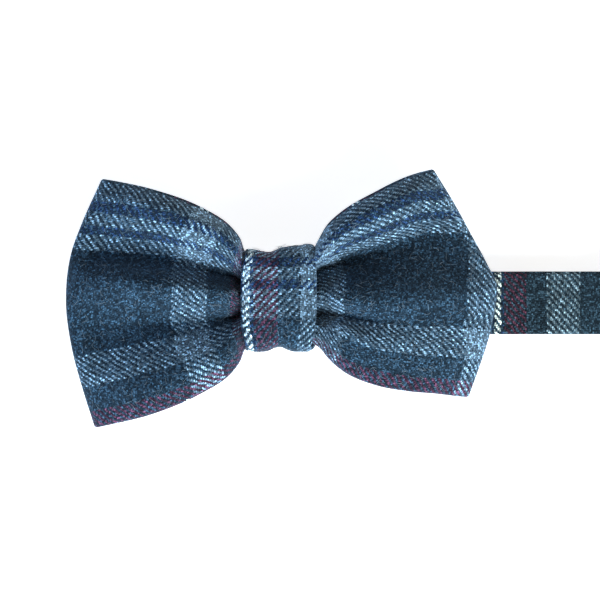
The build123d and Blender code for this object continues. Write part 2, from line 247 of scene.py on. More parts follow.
def shell_rings(outer, thick, facing, edge_steps=5):
    """Rings round a thick sheet: outer is its outer face (along, across, xyz), thick its depth, and
    facing is 1 or -1. Gives the rings and, for each ring point, its column of the outer face."""
    normal = facing * normals_of(outer)
    inner = outer - normal * thick[..., None]
    middle = (outer + inner) / 2
    half = thick[..., None] / 2
    angles = np.linspace(0, math.pi, edge_steps + 2)[1:-1]
    bends = []
    for edge, ahead in ((0, 1), (-1, -2)):
        out = outer[:, edge] - outer[:, ahead]
        out = out / np.maximum(np.linalg.norm(out, axis=1, keepdims=True), 1e-9)
        bends.append([
            middle[:, edge] + half[:, edge] * (math.cos(a) * normal[:, edge] + math.sin(a) * out)
            for a in angles
        ])
    last = outer.shape[1] - 1
    order = (
        list(reversed(bends[0]))
        + [outer[:, c] for c in range(last + 1)]
        + bends[1]
        + [inner[:, c] for c in range(last, -1, -1)]
    )
    columns = [0] * edge_steps + list(range(last + 1)) + [last] * edge_steps
    columns += list(range(last, -1, -1))
    return np.stack(order, axis=1), np.array(columns)


def ring_cloth(rings):
    """How far round each ring its points are, with the whole way round in one more column."""
    closed = np.concatenate([rings, rings[:, :1]], axis=1)
    return lengths_along(closed, 1)


def capped_tube(line, radius, sides=6):
    """Points and faces of a thin tube along a line."""
    ahead = np.gradient(line, axis=0)
    ahead = ahead / np.maximum(np.linalg.norm(ahead, axis=1, keepdims=True), 1e-9)
    up = np.array([0.31, 0.17, 0.93])
    side = np.cross(ahead, up)
    side = side / np.maximum(np.linalg.norm(side, axis=1, keepdims=True), 1e-9)
    top = np.cross(side, ahead)
    angles = np.arange(sides) * 2 * math.pi / sides
    cos, sin = np.cos(angles)[None, :, None], np.sin(angles)[None, :, None]
    rings = line[:, None] + np.reshape(radius, (-1, 1, 1)) * (cos * side[:, None] + sin * top[:, None])
    faces = []
    for i in range(len(line) - 1):
        for k in range(sides):
            here, ahead_of_it, after = i * sides, (i + 1) * sides, (k + 1) % sides
            faces.append([here + k, here + after, ahead_of_it + after, ahead_of_it + k])
    last = (len(line) - 1) * sides
    faces.append(list(reversed(range(sides))))
    faces.append(list(range(last, last + sides)))
    return rings.reshape(-1, 3), faces


def tubes(name, lines, radii, sides=6):
    """Many thin tubes as one object."""
    points, faces, start = [], [], 0
    for line, radius in zip(lines, radii):
        tube_points, tube_faces = capped_tube(np.asarray(line, float), radius, sides)
        points.append(tube_points)
        faces += [[f + start for f in face] for face in tube_faces]
        start += len(tube_points)
    return mesh_object(name, np.concatenate(points), faces)


# --- Node helpers ---------------------------------------------------------------------------------


class Graph:
    """A material's node tree, with short calls for the nodes that the cloths share."""

    def __init__(self, name):
        self.material = bpy.data.materials.new(name)
        self.material.use_nodes = True
        self.tree = self.material.node_tree
        self.shader = self.tree.nodes["Principled BSDF"]

    def node(self, kind, **settings):
        node = self.tree.nodes.new(kind)
        for key, value in settings.items():
            setattr(node, key, value)
        return node

    def put(self, socket, value):
        if isinstance(value, bpy.types.NodeSocket):
            self.tree.links.new(value, socket)
        else:
            socket.default_value = value

    def math(self, operation, *values, clamp=False):
        node = self.node("ShaderNodeMath", operation=operation, use_clamp=clamp)
        for socket, value in zip(node.inputs, values):
            self.put(socket, value)
        return node.outputs[0]

    def mix(self, share, a, b, blend="MIX"):
        node = self.node("ShaderNodeMix", data_type="RGBA", blend_type=blend)
        self.put(node.inputs[0], share)
        self.put(node.inputs[6], a)
        self.put(node.inputs[7], b)
        return node.outputs[2]

    def join(self, x, y, z=0.0):
        node = self.node("ShaderNodeCombineXYZ")
        for socket, value in zip(node.inputs, (x, y, z)):
            self.put(socket, value)
        return node.outputs[0]

    def noise(self, vector, scale, detail=2.0, rough=0.5):
        node = self.node("ShaderNodeTexNoise")
        self.put(node.inputs["Vector"], vector)
        node.inputs["Scale"].default_value = scale
        node.inputs["Detail"].default_value = detail
        node.inputs["Roughness"].default_value = rough
        return node.outputs["Fac"]

    def stretch(self, value, low, high, to_low=0.0, to_high=1.0):
        node = self.node("ShaderNodeMapRange", clamp=True)
        for socket, given in zip(node.inputs, (value, low, high, to_low, to_high)):
            self.put(socket, given)
        return node.outputs[0]

    def bump(self, height, strength, distance, normal=None):
        node = self.node("ShaderNodeBump")
        node.inputs["Strength"].default_value = strength
        node.inputs["Distance"].default_value = distance
        self.put(node.inputs["Height"], height)
        if normal is not None:
            self.put(node.inputs["Normal"], normal)
        return node.outputs[0]

    def object_mm(self):
        coordinate = self.node("ShaderNodeTexCoord").outputs["Object"]
        scale = self.node("ShaderNodeVectorMath", operation="SCALE")
        self.put(scale.inputs[0], coordinate)
        scale.inputs["Scale"].default_value = 1 / MM
        return scale.outputs[0]


def sett_colour(graph, sett, place, shift):
    """The yarn colour at a place in millimetres: the sett repeats from shift."""
    repeat = sum(width for _, width in sett)
    turn = graph.math("FRACT", graph.math("DIVIDE", graph.math("SUBTRACT", place, shift), repeat))
    ramp = graph.node("ShaderNodeValToRGB")
    ramp.color_ramp.interpolation = "CONSTANT"
    graph.put(ramp.inputs[0], turn)
    start = 0.0
    elements = ramp.color_ramp.elements
    for k, (yarn, width) in enumerate(sett):
        element = elements[k] if k < 2 else elements.new(start / repeat)
        element.position = start / repeat
        element.color = (*YARN[yarn], 1)
        start += width
    return ramp.outputs[0]


def weave(g, uv, u, v, rising):
    """A 2/2 twill: warp threads run along v and weft threads along u, and each goes over two and
    under two. Gives each thread's number, how much the warp is on top, and the weave's relief."""
    warp = g.math("DIVIDE", u, THREAD_PITCH)
    weft = g.math("DIVIDE", v, THREAD_PITCH * rising)
    warp_index, weft_index = g.math("FLOOR", warp), g.math("FLOOR", weft)
    warp_turn = g.math("SUBTRACT", g.math("ADD", warp_index, weft), 1.0)
    weft_turn = g.math("SUBTRACT", g.math("ADD", warp, weft_index), 1.0)
    warp_wave = g.math("COSINE", g.math("MULTIPLY", warp_turn, math.pi / 2))
    weft_wave = g.math("COSINE", g.math("MULTIPLY", weft_turn, math.pi / 2))
    warp_round = g.math("SINE", g.math("MULTIPLY", g.math("FRACT", warp), math.pi))
    weft_round = g.math("SINE", g.math("MULTIPLY", g.math("FRACT", weft), math.pi))
    warp_height = g.math("ADD", warp_round, g.math("MULTIPLY", warp_wave, 0.8))
    weft_height = g.math("ADD", weft_round, g.math("MULTIPLY", weft_wave, -0.8))
    ragged = g.stretch(g.noise(uv, 5.0, detail=3.0), 0.3, 0.7, -0.45, 0.45)
    lead = g.math("ADD", g.math("SUBTRACT", warp_height, weft_height), ragged)
    over = g.stretch(lead, -0.35, 0.35)
    relief = g.math("MAXIMUM", warp_height, weft_height)
    return warp_index, weft_index, over, relief


def uneven_with_painted_shade(g, uv, colour, float_place, grain, relief):
    """A woven colour, each float of yarn a little lighter or darker than the next, with painted shade in
    the weave's dips.
    """
    speck = g.node("ShaderNodeTexWhiteNoise", noise_dimensions="2D")
    g.put(speck.inputs["Vector"], float_place)
    bright = g.math("POWER", speck.outputs["Value"], 3.0)
    colour = g.mix(1.0, colour, g.stretch(bright, 0, 1, 0.45, 3.2), "MULTIPLY")
    colour = g.mix(1.0, colour, g.stretch(grain, 0.36, 0.68, 0.15, 2.2), "MULTIPLY")
    cloud = g.noise(uv, 0.10, detail=3.0)
    colour = g.mix(1.0, colour, g.stretch(cloud, 0.25, 0.75, 0.80, 1.20), "MULTIPLY")
    # Painted shade: the weave's relief darkens the colour where threads dip under each other, and
    # lightens it a little on their crowns.
    colour = g.mix(1.0, colour, g.stretch(relief, 0.30, 1.4, 0.30, 1.25), "MULTIPLY")
    return colour


def loose_fibres(g, uv, u, v):
    """How much each place is covered by loose fibres, which lie in every direction over the weave."""
    bend = g.math("MULTIPLY", g.noise(uv, 0.5, detail=2.0), 9.0)
    fibres = None
    for angle in FIBRE_TURNS:
        c, s = math.cos(angle), math.sin(angle)
        along = g.math("ADD", g.math("MULTIPLY", u, c), g.math("MULTIPLY", v, s))
        across = g.math("ADD", g.math("MULTIPLY", u, -s), g.math("MULTIPLY", v, c))
        across = g.math("ADD", g.math("MULTIPLY", across, 4.5), bend)
        streak = g.noise(g.join(g.math("MULTIPLY", along, 0.55), across, angle * 7), 1.0, detail=2.0)
        streak = g.stretch(streak, 0.60, 0.74)
        fibres = streak if fibres is None else g.math("MAXIMUM", fibres, streak)
    return fibres


def tartan(name, white_x, weft_sett, first_row, rising, tone=(1, 1, 1)):
    """Brushed wool tartan in 2/2 twill, on cloth coordinates in millimetres. The twill line climbs
    to the right where rising is 1, and falls where it is -1. white_x is the middle of the white
    warp stripe, and first_row is where the weft's sett starts."""
    g = Graph(name)
    uv = g.node("ShaderNodeUVMap", uv_map="cloth").outputs[0]
    split = g.node("ShaderNodeSeparateXYZ")
    g.put(split.inputs[0], uv)
    u = g.math("ADD", split.outputs[0], g.stretch(g.noise(uv, 0.35), 0, 1, -0.5, 0.5))
    v = g.math("ADD", split.outputs[1], g.stretch(g.noise(uv, 0.30, detail=3.0), 0, 1, -0.5, 0.5))
    warp_index, weft_index, over, relief = weave(g, uv, u, v, rising)
    warp_mm = g.math("MULTIPLY", g.math("ADD", warp_index, 0.5), THREAD_PITCH)
    weft_mm = g.math("MULTIPLY", g.math("ADD", weft_index, 0.5), THREAD_PITCH * rising)
    warp_colour = sett_colour(g, WARP_SETT, warp_mm, white_x - WHITE_HALF)
    weft_colour = sett_colour(g, weft_sett, weft_mm, first_row)
    colour = g.mix(over, weft_colour, warp_colour)
    grain = g.noise(uv, 2.0, detail=3.0, rough=0.7)
    colour = uneven_with_painted_shade(g, uv, colour, g.join(warp_index, weft_index), grain, relief)
    # Painted shade: a tone below white darkens the whole cloth; the band's tone stands in for the wing's
    # shadow over the strap.
    colour = g.mix(1.0, colour, (*tone, 1), "MULTIPLY")
    fibres = loose_fibres(g, uv, u, v)
    colour = g.mix(g.math("MULTIPLY", fibres, 0.30), colour, (*FIBRE_TONE, 1))

    g.put(g.shader.inputs["Base Color"], colour)
    g.shader.inputs["Roughness"].default_value = 0.92
    g.shader.inputs["Specular IOR Level"].default_value = 0.10
    g.shader.inputs["Sheen Weight"].default_value = 0.22
    g.shader.inputs["Sheen Roughness"].default_value = 0.45
    g.shader.inputs["Sheen Tint"].default_value = (0.55, 0.75, 1.0, 1)
    lift = g.math("ADD", relief, g.math("MULTIPLY", fibres, 0.5))
    lift = g.math("ADD", lift, g.math("MULTIPLY", grain, 1.2))
    g.put(g.shader.inputs["Normal"], g.bump(lift, 0.6, 0.18 * MM))
    return g.material


def plated_material():
    """Nickel plate: soft tumbling marks, and brassy wear where the plate is thin."""
    g = Graph("nickel_plate")
    place = g.object_mm()
    marks = g.noise(place, 1.1, detail=4.0, rough=0.6)
    worn = g.stretch(g.noise(place, 0.35, detail=3.0), 0.58, 0.75)
    colour = g.mix(g.math("MULTIPLY", worn, 0.45), (0.80, 0.78, 0.74, 1), (0.62, 0.52, 0.36, 1))
    g.put(g.shader.inputs["Base Color"], colour)
    g.shader.inputs["Metallic"].default_value = 1.0
    g.put(g.shader.inputs["Roughness"], g.stretch(marks, 0.3, 0.7, 0.26, 0.40))
    g.put(g.shader.inputs["Normal"], g.bump(marks, 0.05, 0.08 * MM))
    return g.material


def thread_material():
    """Dark sewing thread with its twist."""
    g = Graph("navy_thread")
    place = g.object_mm()
    wave = g.node("ShaderNodeTexWave")
    g.put(wave.inputs["Vector"], place)
    wave.inputs["Scale"].default_value = 1.3
    wave.inputs["Distortion"].default_value = 1.5
    colour = g.mix(wave.outputs["Fac"], (0.012, 0.016, 0.03, 1), (0.05, 0.06, 0.09, 1))
    g.put(g.shader.inputs["Base Color"], colour)
    g.shader.inputs["Roughness"].default_value = 0.6
    g.put(g.shader.inputs["Normal"], g.bump(wave.outputs["Fac"], 0.5, 0.1 * MM))
    return g.material


def felt_material():
    """Off-white brushed interlining."""
    g = Graph("interlining")
    place = g.object_mm()
    grain = g.noise(place, 1.8, detail=5.0, rough=0.7)
    g.put(g.shader.inputs["Base Color"], g.mix(grain, (0.55, 0.53, 0.47, 1), (0.80, 0.78, 0.72, 1)))
    g.shader.inputs["Roughness"].default_value = 0.95
    g.put(g.shader.inputs["Normal"], g.bump(grain, 0.6, 0.2 * MM))
    return g.material


def hair_material():
    """Stray wool fibres, lighter than the cloth they come from."""
    g = Graph("stray_wool")
    tone = g.noise(g.object_mm(), 0.4, detail=2.0)
    g.put(g.shader.inputs["Base Color"], g.mix(tone, (0.05, 0.08, 0.11, 1), (0.30, 0.38, 0.44, 1)))
    g.shader.inputs["Roughness"].default_value = 0.8
    return g.material


def finish_piece(piece, material, body=None):
    """Gives a piece its material and slot, and its body when one is given; pieces between two bodies get
    none.
    """
    piece.data.materials.clear()
    piece.data.materials.append(material)
    if body:
        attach(piece, body)
    return piece


# --- Wings ----------------------------------------------------------------------------------------

# Outlines seen from the front, x outwards from the knot. The waist's start is hidden in the knot.
# At each station, from the waist (0) to the end (1), lines says where seven lines lie across the
# cloth (0 its upper edge, 1 its lower) and press how far each is pressed in, in millimetres: edge,
# crest, valley, crest, valley, crest, edge.
WINGS = {
    "left": {
        "side": -1,
        "upper": [(0.3, 11.0), (6.5, 11.0), (8.9, 12.9), (10.6, 17.0), (13.0, 19.8), (21.6, 25.1),
                  (34.9, 29.9), (49.3, 33.1)],
        "lower": [(0.3, -11.0), (6.5, -11.0), (8.9, -12.9), (10.6, -16.8), (12.7, -19.4),
                  (21.6, -25.2), (34.9, -30.8), (51.2, -34.8)],
        "outer": [(49.3, 33.1), (54.8, 20.8), (57.3, 14.0), (59.0, 0.0), (57.1, -14.7),
                  (54.8, -23.3), (51.2, -34.8)],
        "stations": [0.0, 0.18, 0.33, 0.59, 0.85, 1.0],
        "lines": [[0, 0.12, 0.300, 0.47, 0.650, 0.80, 1],
                  [0, 0.12, 0.300, 0.47, 0.648, 0.79, 1],
                  [0, 0.09, 0.324, 0.45, 0.622, 0.86, 1],
                  [0, 0.07, 0.300, 0.43, 0.612, 0.91, 1],
                  [0, 0.06, 0.292, 0.41, 0.610, 0.92, 1],
                  [0, 0.06, 0.300, 0.41, 0.620, 0.90, 1]],
        "press": [[2.5, 0.3, 6.0, 1.0, 6.0, 0.5, 2.5],
                  [3.5, 0.0, 7.4, 0.8, 7.0, 0.4, 3.0],
                  [4.2, 0.0, 8.6, 0.7, 7.4, 0.2, 2.6],
                  [3.8, 0.0, 8.4, 0.3, 7.2, 0.0, 2.0],
                  [2.4, 0.0, 5.8, 0.0, 5.0, 0.0, 1.6],
                  [0.6, 0.0, 1.6, 0.0, 1.2, 0.0, 0.6]],
    },
    "right": {
        "side": 1,
        "upper": [(0.3, 11.0), (6.5, 11.0), (8.9, 12.4), (10.8, 15.8), (13.9, 20.5), (18.3, 24.2),
                  (27.1, 29.2), (36.0, 33.5), (43.5, 35.9)],
        "lower": [(0.3, -11.0), (6.5, -11.0), (8.9, -11.6), (11.2, -12.6), (13.9, -15.6),
                  (18.3, -19.1), (27.1, -22.8), (36.0, -24.5), (44.9, -25.3), (53.2, -26.4)],
        "outer": [(43.5, 35.9), (49.3, 26.4), (53.7, 18.3), (58.2, 10.0), (60.9, 4.0),
                  (60.2, -3.0), (59.0, -9.1), (56.0, -18.6), (53.2, -26.4)],
        "stations": [0.0, 0.18, 0.33, 0.54, 0.78, 1.0],
        "lines": [[0, 0.10, 0.21, 0.46, 0.690, 0.82, 1],
                  [0, 0.10, 0.205, 0.48, 0.690, 0.82, 1],
                  [0, 0.09, 0.262, 0.54, 0.642, 0.77, 1],
                  [0, 0.08, 0.276, 0.58, 0.665, 0.80, 1],
                  [0, 0.07, 0.270, 0.60, 0.700, 0.80, 1],
                  [0, 0.06, 0.280, 0.60, 0.720, 0.82, 1]],
        "press": [[2.5, 0.3, 6.5, 1.0, 5.5, 0.5, 2.5],
                  [3.5, 0.0, 8.4, 0.8, 5.8, 0.4, 2.8],
                  [4.0, 0.0, 10.0, 0.6, 4.8, 0.5, 3.2],
                  [4.0, 0.0, 9.8, 0.2, 2.2, 0.5, 3.4],
                  [3.6, 0.0, 7.0, 0.0, 0.6, 0.4, 3.0],
                  [1.0, 0.0, 2.4, 0.0, 0.1, 0.0, 1.0]],
    },
}
# How much the valleys are creases (1) or soft dips (0), from the waist to the end.
SHARP = ([0.0, 0.2, 0.5, 0.9], [1.0, 0.95, 0.55, 0.1])
WAIST_MID = (BOW_LOW[2] + KNOT_HIGH[2] - 2.5) / 2
END_MID = BOW_LOW[2] + 2.6
WAIST_HALF = 11.0
WAIST_RISE = 6.15
# The cloth's loop seen from below: how far out, and how high, from the front waist round the end.
LOOP = [(0, 20.2), (7, 20.2), (11, 22.2), (14, 24.2), (20, 25.2), (28, 25.2), (37, 23.4),
        (46, 19.0), (52.5, 15.2), (54.6, 11.8), (52.5, 8.7), (46, 8.5), (36, 8.6), (26, 8.7),
        (12, 8.8), (6, 8.8), (0, 8.8)]
ALONG = 150
ACROSS = 132
EDGE_STEPS = 5  # points round each of a sheet's folded edges
EDGE_CLOTH = 0.5  # the cloth between two of those points on a wing
WRINKLE_SEED = 3.7
# The pocket between a wing's plies, and the interlining in it, as shares of the cloth's thickness.
POCKET_DEPTH, POCKET_THICK = 0.30, 0.40
FELT_DEPTH, FELT_THICK = 0.36, 0.28
POCKET_REACH = 0.24  # the interlining stops this far from the waist, where the gathers are too tight


def pressed(wing, reach, t):
    """How far each point of a wing's face is pressed in by its folds, in millimetres."""
    stations = wing["stations"]
    lines = np.stack([eased(reach, stations, column) for column in zip(*wing["lines"])], axis=1)
    depths = np.stack([eased(reach, stations, column) for column in zip(*wing["press"])], axis=1)
    sharp = eased(reach, *SHARP)
    press = np.zeros((len(reach), len(t)))
    for i in range(len(reach)):
        k = np.clip(np.searchsorted(lines[i], t, side="right") - 1, 0, lines.shape[1] - 2)
        q = (t - lines[i, k]) / (lines[i, k + 1] - lines[i, k])
        valley_first = (k % 2 == 0) & (k > 0)
        from_valley = np.where(valley_first, q, 1 - q)
        smooth = from_valley**2 * (3 - 2 * from_valley)
        climb = sharp[i] * np.sin(from_valley * math.pi / 2) + (1 - sharp[i]) * smooth
        climb = np.where(k == 0, np.sin(q * math.pi / 2), climb)
        climb = np.where(k == lines.shape[1] - 2, np.cos(q * math.pi / 2), climb)
        low = np.where(valley_first | (k == 0), depths[i, k], depths[i, k + 1])
        high = np.where(valley_first | (k == 0), depths[i, k + 1], depths[i, k])
        press[i] = low + (high - low) * climb
    return press


def wing_surface(wing):
    """The outer face of one wing's loop, as a grid: along from the front waist, across from the top."""
    loop = drawn_line(LOOP, ALONG)
    reach, height = loop[:, 0] / loop[:, 0].max(), loop[:, 1]
    t = np.linspace(0, 1, ACROSS)
    fine = np.linspace(0, 1, 400)
    upper = smooth_line(wing["upper"], 400)
    lower = smooth_line(wing["lower"], 400)
    outer = smooth_line(wing["outer"], ACROSS)
    top = np.stack([np.interp(reach, fine, upper[:, k]) for k in range(2)], axis=1)
    low = np.stack([np.interp(reach, fine, lower[:, k]) for k in range(2)], axis=1)
    waist = upper[0] + (lower[0] - upper[0]) * t[:, None]
    r, tt = reach[:, None, None], t[None, :, None]
    plan = (1 - tt) * top[:, None] + tt * low[:, None] + (1 - r) * waist[None] + r * outer[None]
    plan -= (1 - r) * ((1 - tt) * upper[0] + tt * lower[0]) + r * ((1 - tt) * upper[-1] + tt * lower[-1])

    height = height[:, None]
    mid = WAIST_MID + (END_MID - WAIST_MID) * reach[:, None]
    press = pressed(wing, reach, t)
    front = np.clip((height - mid) / 4, 0, 1)
    back = np.clip((mid - height) / 4, 0, 1) * np.exp(-np.maximum(reach - 0.2, 0) / 0.16)[:, None]
    z = height - front * press + 0.42 * back * press
    for i in range(ALONG):
        for j in range(ACROSS):
            x, y = plan[i, j]
            soft = noise.noise(Vector((x / 13, y / 10, wing["side"] * WRINKLE_SEED)))
            near = math.exp(-max(x - 9, 0) / 9)
            crimp = noise.noise(Vector((x / 26, y / 2.4, 9 + wing["side"] * WRINKLE_SEED)))
            z[i, j] += front[i, 0] * (0.9 * soft + 0.8 * near * crimp)
    x = wing["side"] * plan[..., 0]
    return np.stack([x, plan[..., 1], z], axis=2), reach


def wing_uv(surface, side, columns):
    """Cloth coordinates for a wing's rings: along the bow from its middle, and down from its top."""
    along = lengths_along(surface, 0) + np.abs(surface[0, 0, 0])
    across = lengths_along(surface, 1)
    across = across / across[:, -1:] * WING_CLOTH
    last = surface.shape[1] - 1
    u = side * along[:, columns]
    v = across[:, columns]
    bend = np.arange(1, EDGE_STEPS + 1) * EDGE_CLOTH
    lower_bend = slice(EDGE_STEPS + last + 1, 2 * EDGE_STEPS + last + 1)
    inner = slice(2 * EDGE_STEPS + last + 1, None)
    v[:, :EDGE_STEPS] -= bend[::-1]
    v[:, lower_bend] += bend
    v[:, inner] = 2 * WING_CLOTH + (EDGE_STEPS + 1) * EDGE_CLOTH - v[:, inner]
    u = np.concatenate([u, u[:, :1]], axis=1)
    v = np.concatenate([v, v[:, -1:] + EDGE_CLOTH], axis=1)
    return u, v


def make_wing(name, wing):
    """One wing's cloth, a flat tube of two plies, and the interlining inside it."""
    facing = -wing["side"]
    surface, reach = wing_surface(wing)
    thick = eased(reach, [0.0, 0.15, 0.4, 1.0], [WAIST_PLY, WAIST_PLY, PLY, PLY])
    thick = np.repeat(thick[:, None], ACROSS, axis=1)
    rings, columns = shell_rings(surface, thick, facing, EDGE_STEPS)
    u, v = wing_uv(surface, wing["side"], columns)
    cloth = loft(f"{name}_wing_cloth", rings, u, v)

    normal = facing * normals_of(surface)
    room = np.flatnonzero(reach > POCKET_REACH)
    pocket_at = np.ix_(room[::2], np.arange(4, ACROSS - 4))
    pocket_face = (surface - normal * POCKET_DEPTH * thick[..., None])[pocket_at]
    pocket, _ = shell_rings(pocket_face, POCKET_THICK * thick[pocket_at], facing, 2)
    hollow(cloth, pocket)
    felt_at = np.ix_(room[2:-2:2], np.arange(9, ACROSS - 9))
    felt_face = (surface - normal * FELT_DEPTH * thick[..., None])[felt_at]
    felt, _ = shell_rings(felt_face, FELT_THICK * thick[felt_at], facing, 1)
    zero = np.zeros((felt.shape[0], felt.shape[1] + 1))
    interlining = loft(f"{name}_wing_felt", felt, zero, zero)
    return surface, cloth, interlining


# --- Knot -----------------------------------------------------------------------------------------

KNOT_PLY = 1.4
KNOT_AROUND = 160
KNOT_ACROSS = 44
KNOT_LINING = 0.35
KNOT_SQUARENESS = 4.2  # of the knot's section: 2 is an ellipse


def knot_surface():
    """The knot band's outer face, as a grid: round the waist from the middle of its back, and across."""
    half_y = (KNOT_HIGH[1] - KNOT_LOW[1]) / 2
    mid_z = (KNOT_HIGH[2] + KNOT_LOW[2]) / 2
    half_z = (KNOT_HIGH[2] - KNOT_LOW[2]) / 2
    angle = np.linspace(0, 2 * math.pi, 1440)
    power = 2 / KNOT_SQUARENESS
    y = half_y * np.sign(np.sin(angle)) * np.abs(np.sin(angle)) ** power
    z = -half_z * np.sign(np.cos(angle)) * np.abs(np.cos(angle)) ** power
    ring = even(np.stack([y, z], axis=1), KNOT_AROUND + 1)[:-1]
    y, z = ring[:, :1], ring[:, 1:]
    across = np.linspace(-1, 1, KNOT_ACROSS)[None, :]
    face = np.clip(z / half_z, -1, 1)
    tall = np.abs(y) / half_y
    pinch = eased(tall, [0.0, 0.45, 1.0], [0.0, 0.10, 1.0]) * np.clip(face + 1, 0, 1)
    left = KNOT_LOW[0] + 1.7 * pinch
    right = KNOT_HIGH[0] - (1.2 - 0.5 * np.sign(y)) * pinch
    x = left + (right - left) * (across + 1) / 2

    # A soft fold runs down the face and dips its top and bottom edges.
    up, down = tall**8 * (y > 0), tall**8 * (y < 0)
    fold_x = -1.0 - 1.3 * y / half_y
    fold = np.exp(-(((x - fold_x) / 2.3) ** 2)) * (0.6 * (face > 0) + 1.5 * up + 1.6 * down)
    shoulder = np.exp(-(((x + 6.0) / 3.0) ** 2)) * 0.9 * up + 0.5 * down
    roll = 1.5 * np.clip((-7.0 - x) / 3.1, 0, 1) ** 2.2
    crown = 0.4 * np.clip((x - 4) / 6.1, 0, 1) ** 2
    lift = 1.0 * np.exp(-(((x - 8.6) / 3.2) ** 2)) * up
    inset = fold + shoulder + roll + crown - lift
    out = np.stack([np.zeros_like(y), y / half_y**2, z / half_z**2], axis=2)
    out = out / np.linalg.norm(out, axis=2, keepdims=True)
    base = np.stack([x, np.broadcast_to(y, x.shape), np.broadcast_to(z + mid_z, x.shape)], axis=2)
    base = base - out * inset[..., None]
    for i in range(base.shape[0]):
        for j in range(base.shape[1]):
            place = Vector((base[i, j, 0] / 5, base[i, j, 1] / 7, base[i, j, 2] / 7))
            base[i, j] -= out[i, 0] * 0.25 * noise.noise(place)
    return base


def closed_shell(outer, thick, edge_steps=EDGE_STEPS):
    """Rings for a sheet that closes on itself along its length."""
    padded = np.concatenate([outer[-2:], outer, outer[:2]], axis=0)
    rings, columns = shell_rings(padded, np.full(padded.shape[:2], thick), 1, edge_steps)
    return rings[2:-2], columns


def make_knot():
    """The knot wrap, with cloth coordinates that start at the top of its face."""
    surface = knot_surface()
    rings, columns = closed_shell(surface, KNOT_PLY)
    closed = np.concatenate([surface, surface[:1]], axis=0)
    middle = closed[:, KNOT_ACROSS // 2]
    down = lengths_along(middle[:, None], 0)[:, 0]
    face_top = np.argmax(middle[:, 1] + middle[:, 2])
    down = down - down[face_top]
    across = np.linspace(KNOT_LOW[0], KNOT_HIGH[0], KNOT_ACROSS)[columns]
    last = KNOT_ACROSS - 1
    bend = np.arange(1, EDGE_STEPS + 1) * 0.36
    across[:EDGE_STEPS] -= bend[::-1]
    across[EDGE_STEPS + last + 1: 2 * EDGE_STEPS + last + 1] += bend
    inner = slice(2 * EDGE_STEPS + last + 1, None)
    across[inner] = 2 * (KNOT_HIGH[0] + bend[-1]) - across[inner]
    across = np.append(across, across[-1] + 0.4)
    u = np.repeat(across[None], len(closed), axis=0)
    v = np.repeat(down[:, None], len(across), axis=1)
    wrap = loft("knot_wrap_cloth", rings, u, v, round_path=True)

    lining_face = (surface - (KNOT_PLY + 0.08) * normals_of(surface))[::2, 5:-5:2]
    felt, _ = closed_shell(lining_face, KNOT_LINING, 1)
    zero = np.zeros((len(felt) + 1, felt.shape[1] + 1))
    lining = loft("knot_felt", felt, zero, zero, round_path=True)
    return surface, wrap, lining


WAIST_TURNS = (-2.6, -0.9, 0.8, 2.5)
THREAD_RADIUS = 0.26


def make_waist_thread():
    """Four turns of thread round the gathered waist, under the knot."""
    lines, radii = [], []
    for turn_index, x in enumerate(WAIST_TURNS):
        angle = np.linspace(0, 2 * math.pi, 90)
        power = 2 / 4.0
        y = (WAIST_HALF + 0.35) * np.sign(np.sin(angle)) * np.abs(np.sin(angle)) ** power
        z = WAIST_MID - WAIST_RISE * np.sign(np.cos(angle)) * np.abs(np.cos(angle)) ** power
        slant = x + 0.8 * (angle / (2 * math.pi) - 0.5) + 0.1 * np.sin(3 * angle + turn_index)
        lines.append(np.stack([slant, y, z], axis=1))
        radii.append(np.full(len(angle), THREAD_RADIUS))
    return tubes("waist_thread_turns", lines, radii, sides=8)


# --- Neckband -------------------------------------------------------------------------------------


def band_section(half, thick, steps=5, columns=22):
    """The band's rounded cross-section: (across, up) points round it, from its left edge's top."""
    radius = thick / 2
    flat = half - radius
    bends = np.linspace(0, math.pi, steps + 2)[1:-1]
    top = [(y, radius) for y in np.linspace(-flat, flat, columns)]
    right = [(flat + radius * math.sin(a), radius * math.cos(a)) for a in bends]
    low = [(y, -radius) for y in np.linspace(flat, -flat, columns)]
    left = [(-flat - radius * math.sin(a), -radius * math.cos(a)) for a in bends]
    return np.array(top + right + low + left)


def band_piece(name, path, half, thick, u_start, u_sign, seed):
    """A folded strip of cloth along a path of (x, z), centred on the band's middle."""
    path = np.array(path, float)
    ahead = np.gradient(path, axis=0)
    ahead = ahead / np.linalg.norm(ahead, axis=1, keepdims=True)
    up = np.stack([-ahead[:, 1], ahead[:, 0]], axis=1)
    section = band_section(half, thick)
    along = np.concatenate([[0], np.cumsum(np.linalg.norm(np.diff(path, axis=0), axis=1))])
    rings = np.zeros((len(path), len(section), 3))
    for i in range(len(path)):
        wobble = 0.12 * noise.noise(Vector((along[i] / 9, seed, 0)))
        for j, (y, z) in enumerate(section):
            ripple = 0.06 * noise.noise(Vector((along[i] / 5, y / 4, seed)))
            rise = z * (1 - 0.10 * abs(y / half) ** 3) + (ripple if abs(z) > thick / 3 else 0)
            rings[i, j, 0] = path[i, 0] + up[i, 0] * rise
            rings[i, j, 1] = BAND_Y - y + wobble
            rings[i, j, 2] = path[i, 1] + up[i, 1] * rise
    around = ring_cloth(rings)
    u = u_start + u_sign * BAND_DRAWN_IN * np.repeat(along[:, None], len(section) + 1, axis=1)
    piece = loft(name, rings, u, around)
    return piece


def straight(x0, x1, z, step=1.0):
    """Points along a level run, without its last one."""
    count = max(2, int(abs(x1 - x0) / step))
    return [(x, z) for x in np.linspace(x0, x1, count, endpoint=False)]


def turn(x, z, radius, start, end, steps=14):
    """Points round an arc in the XZ plane, angles in degrees from +X towards +Z."""
    angles = np.radians(np.linspace(start, end, steps, endpoint=False))
    return [(x + radius * math.cos(a), z + radius * math.sin(a)) for a in angles]


